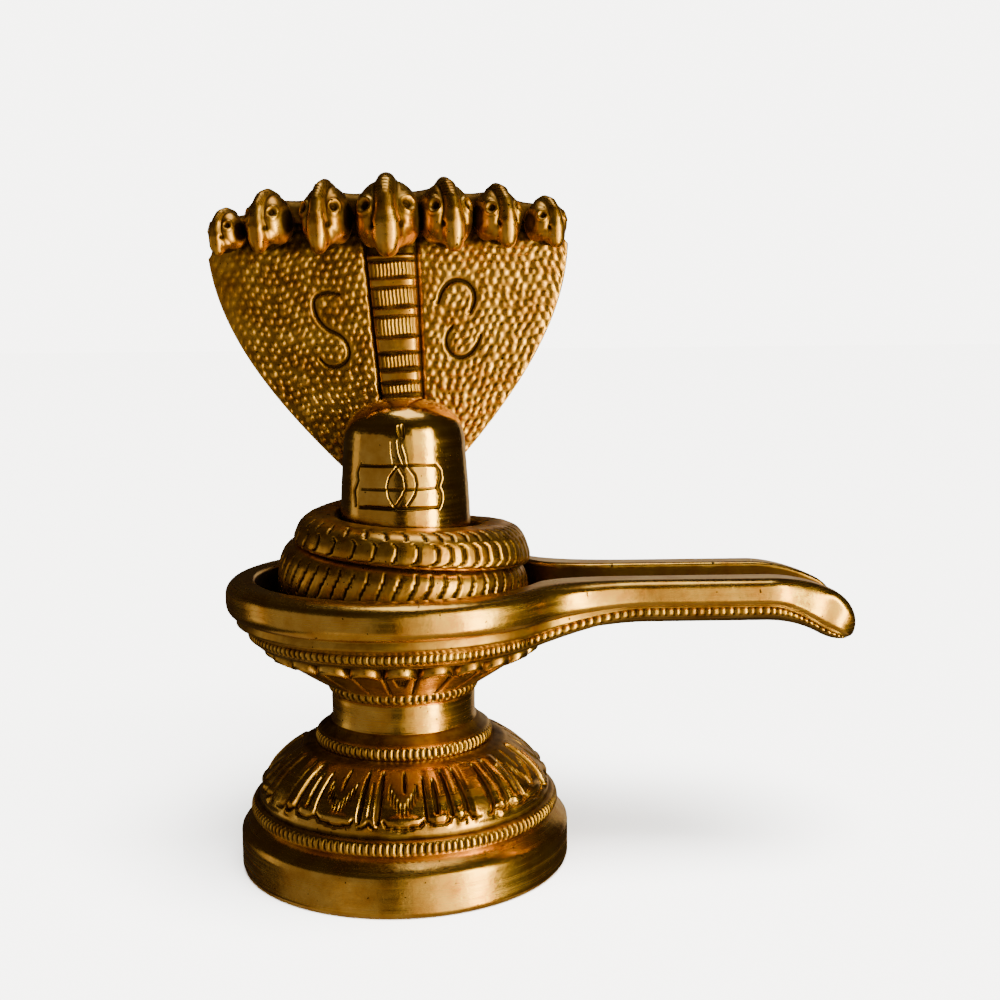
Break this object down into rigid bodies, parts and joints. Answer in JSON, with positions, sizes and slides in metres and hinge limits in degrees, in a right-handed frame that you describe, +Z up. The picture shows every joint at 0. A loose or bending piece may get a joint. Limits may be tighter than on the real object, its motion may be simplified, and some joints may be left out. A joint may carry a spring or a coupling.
{
  "type": "shiva lingam",
  "caption": "Cast brass shiva lingam: a domed pillar in a spouted yoni basin on a lotus pedestal, ringed by a coiled cobra whose many-headed hood rises behind it.",
  "frame": {"origin": "centre of the round underside, where the foot stands", "axes": "+Z up, the pillar's axis and the hood's height; +X toward the lip of the spout; the hood and the engraved face of the pillar look toward -Y"},
  "size_m": [0.1101, 0.0588, 0.117],
  "materials": {
    "polished_brass_pedestal": "polished cast brass, dark patina left in the carving",
    "polished_brass_lingam": "turned and polished brass, engraved lines",
    "aged_brass_cobra": "cast and chased brass, polished high spots over brown patina"
  },
  "bodies": {
    "root": {"pedestal_and_yoni": "polished_brass_pedestal", "lingam": "polished_brass_lingam", "cobra": "aged_brass_cobra"}
  },
  "joints": []
}
